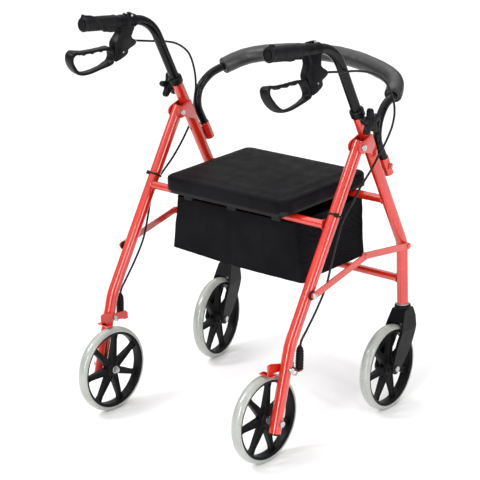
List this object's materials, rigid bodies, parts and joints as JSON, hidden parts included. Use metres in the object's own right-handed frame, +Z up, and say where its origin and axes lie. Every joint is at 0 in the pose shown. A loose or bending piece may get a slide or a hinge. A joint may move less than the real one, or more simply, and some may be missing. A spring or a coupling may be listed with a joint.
{
  "type": "rollator walker",
  "caption": "Folding rollator walker with four spoked wheels, padded seat over a storage bag, curved padded backrest, height-adjustable handles and loop brake levers.",
  "frame": {"origin": "centre of the footprint box, on the floor under the wheels", "axes": "+Y forward in the walking direction, +X to the user's right, +Z up; the hand grips point to -Y"},
  "size_m": [0.585, 0.635, 0.873],
  "materials": {
    "red_paint": "glossy red powder coat",
    "black_paint": "glossy black powder coat",
    "black_plastic": "satin moulded",
    "black_rubber": "matte",
    "grey_tyre": "smooth light grey polyurethane",
    "zinc_steel": "zinc plated",
    "black_vinyl": "black vinyl upholstery",
    "black_nylon": "woven nylon",
    "grey_foam": "closed-cell foam"
  },
  "bodies": {
    "rear_frame": {"rear_leg_left": "red_paint", "rear_leg_right": "red_paint", "rear_leg_plug_left": "black_plastic", "rear_leg_plug_right": "black_plastic", "seat_tube_rear": "red_paint", "pivot_bolt_left": "zinc_steel", "pivot_bolt_right": "zinc_steel", "rear_axle_left": "zinc_steel", "rear_axle_right": "zinc_steel", "brake_screw_left": "zinc_steel", "brake_screw_right": "zinc_steel", "cable_boot_left": "black_rubber", "cable_boot_right": "black_rubber", "brake_cable_left": "black_rubber", "brake_cable_right": "black_rubber"},
    "front_frame": {"front_leg_left": "red_paint", "front_leg_right": "red_paint", "leg_collar_left": "black_plastic", "leg_collar_right": "black_plastic", "stem_cap_left": "black_plastic", "stem_cap_right": "black_plastic", "seat_tube_front": "red_paint", "lower_cross_tube": "red_paint", "storage_bag": "black_nylon"},
    "links_front": {"link_front_left": "red_paint", "link_front_right": "red_paint"},
    "links_rear": {"link_rear_left": "red_paint", "link_rear_right": "red_paint"},
    "seat": {"seat_board": "black_plastic", "seat_cushion": "black_vinyl"},
    "backrest": {"backrest_tube": "black_paint", "backrest_foam": "grey_foam"},
    "rear_wheel_left": {"rear_tyre_left": "grey_tyre", "rear_rim_left": "black_plastic"},
    "caster_left": {"caster_fork_left": "black_plastic", "caster_axle_left": "zinc_steel"},
    "caster_wheel_left": {"caster_tyre_left": "grey_tyre", "caster_rim_left": "black_plastic"},
    "handle_left": {"handle_tube_left": "black_paint", "grip_left": "black_rubber", "brake_housing_left": "black_plastic", "lever_pin_left": "zinc_steel"},
    "lever_left": {"brake_lever_left": "black_plastic"},
    "arm_left": {"brake_arm_left": "red_paint"},
    "knob_left": {"height_knob_left": "black_plastic"},
    "button_left": {"socket_button_left": "zinc_steel"},
    "rear_wheel_right": {"rear_tyre_right": "grey_tyre", "rear_rim_right": "black_plastic"},
    "caster_right": {"caster_fork_right": "black_plastic", "caster_axle_right": "zinc_steel"},
    "caster_wheel_right": {"caster_tyre_right": "grey_tyre", "caster_rim_right": "black_plastic"},
    "handle_right": {"handle_tube_right": "black_paint", "grip_right": "black_rubber", "brake_housing_right": "black_plastic", "lever_pin_right": "zinc_steel"},
    "lever_right": {"brake_lever_right": "black_plastic"},
    "arm_right": {"brake_arm_right": "red_paint"},
    "knob_right": {"height_knob_right": "black_plastic"},
    "button_right": {"socket_button_right": "zinc_steel"}
  },
  "joints": [
    {"name": "fold", "type": "hinge", "parent": "rear_frame", "child": "front_frame", "pos_m": [0, 0.06, 0.612], "axis": [-1, 0, 0], "range_deg": [0, 18], "deforming": ["storage_bag", "brake_cable_left", "brake_cable_right"]},
    {"name": "link_rear_turn", "type": "hinge", "parent": "rear_frame", "child": "links_rear", "pos_m": [0, -0.1155, 0.342], "axis": [1, 0, 0], "range_deg": [0, 24]},
    {"name": "link_front_turn", "type": "hinge", "parent": "front_frame", "child": "links_front", "pos_m": [0, 0.209, 0.357], "axis": [-1, 0, 0], "range_deg": [0, 26]},
    {"name": "seat_flip", "type": "hinge", "parent": "front_frame", "child": "seat", "pos_m": [0, 0.16, 0.47], "axis": [-1, 0, 0], "range_deg": [0, 90]},
    {"name": "backrest_lift", "type": "slide", "parent": "front_frame", "child": "backrest", "axis": [0, -0.4182, 0.9084], "range_m": [0, 0.06]},
    {"name": "rear_wheel_left_spin", "type": "hinge", "parent": "rear_frame", "child": "rear_wheel_left", "pos_m": [-0.222, -0.2225, 0.095], "axis": [1, 0, 0], "continuous": true},
    {"name": "caster_left_swivel", "type": "hinge", "parent": "front_frame", "child": "caster_left", "pos_m": [-0.255, 0.2085, 0.095], "axis": [0, 0, 1], "continuous": true},
    {"name": "caster_wheel_left_spin", "type": "hinge", "parent": "caster_left", "child": "caster_wheel_left", "pos_m": [-0.24149, 0.14492, 0.095], "axis": [0.9781, 0.2079, 0], "continuous": true},
    {"name": "handle_left_slide", "type": "slide", "parent": "front_frame", "child": "handle_left", "axis": [0, -0.4182, 0.9084], "range_m": [-0.075, 0.04], "deforming": ["brake_cable_left"]},
    {"name": "lever_left_squeeze", "type": "hinge", "parent": "handle_left", "child": "lever_left", "pos_m": [-0.26883, -0.09304, 0.77894], "axis": [-0.9781, 0.0244, 0.2065], "range_deg": [0, 15], "stiffness_Nm_per_rad": 3, "springref_deg": -2.86},
    {"name": "arm_left_turn", "type": "hinge", "parent": "rear_frame", "child": "arm_left", "pos_m": [-0.24, -0.188, 0.201], "axis": [1, 0, 0], "range_deg": [0, 5], "deforming": ["cable_boot_left"]},
    {"name": "knob_left_turn", "type": "hinge", "parent": "front_frame", "child": "knob_left", "pos_m": [-0.283, 0.06826, 0.66683], "axis": [1, 0, 0], "range_deg": [0, 360]},
    {"name": "button_left_press", "type": "slide", "parent": "front_frame", "child": "button_left", "axis": [1, 0, 0], "range_m": [0, 0.002], "stiffness_N_per_m": 1000, "springref_m": -0.001},
    {"name": "rear_wheel_right_spin", "type": "hinge", "parent": "rear_frame", "child": "rear_wheel_right", "pos_m": [0.222, -0.2225, 0.095], "axis": [1, 0, 0], "continuous": true},
    {"name": "caster_right_swivel", "type": "hinge", "parent": "front_frame", "child": "caster_right", "pos_m": [0.255, 0.2085, 0.095], "axis": [0, 0, 1], "continuous": true},
    {"name": "caster_wheel_right_spin", "type": "hinge", "parent": "caster_right", "child": "caster_wheel_right", "pos_m": [0.25953, 0.14366, 0.095], "axis": [0.9976, 0.0698, 0], "continuous": true},
    {"name": "handle_right_slide", "type": "slide", "parent": "front_frame", "child": "handle_right", "axis": [0, -0.4182, 0.9084], "range_m": [-0.075, 0.04], "deforming": ["brake_cable_right"]},
    {"name": "lever_right_squeeze", "type": "hinge", "parent": "handle_right", "child": "lever_right", "pos_m": [0.26883, -0.09304, 0.77894], "axis": [-0.9781, -0.0244, -0.2065], "range_deg": [0, 15], "stiffness_Nm_per_rad": 3, "springref_deg": -2.86},
    {"name": "arm_right_turn", "type": "hinge", "parent": "rear_frame", "child": "arm_right", "pos_m": [0.24, -0.188, 0.201], "axis": [1, 0, 0], "range_deg": [0, 5], "deforming": ["cable_boot_right"]},
    {"name": "knob_right_turn", "type": "hinge", "parent": "front_frame", "child": "knob_right", "pos_m": [0.283, 0.06826, 0.66683], "axis": [1, 0, 0], "range_deg": [0, 360]},
    {"name": "button_right_press", "type": "slide", "parent": "front_frame", "child": "button_right", "axis": [-1, 0, 0], "range_m": [0, 0.002], "stiffness_N_per_m": 1000, "springref_m": -0.001}
  ],
  "couplings": [
    {"joint": "link_rear_turn", "follows": "fold", "ratio": 1.3256},
    {"joint": "link_front_turn", "follows": "fold", "ratio": 1.4272},
    {"joint": "arm_left_turn", "follows": "lever_left_squeeze", "ratio": 0.3333},
    {"joint": "arm_right_turn", "follows": "lever_right_squeeze", "ratio": 0.3333}
  ]
}
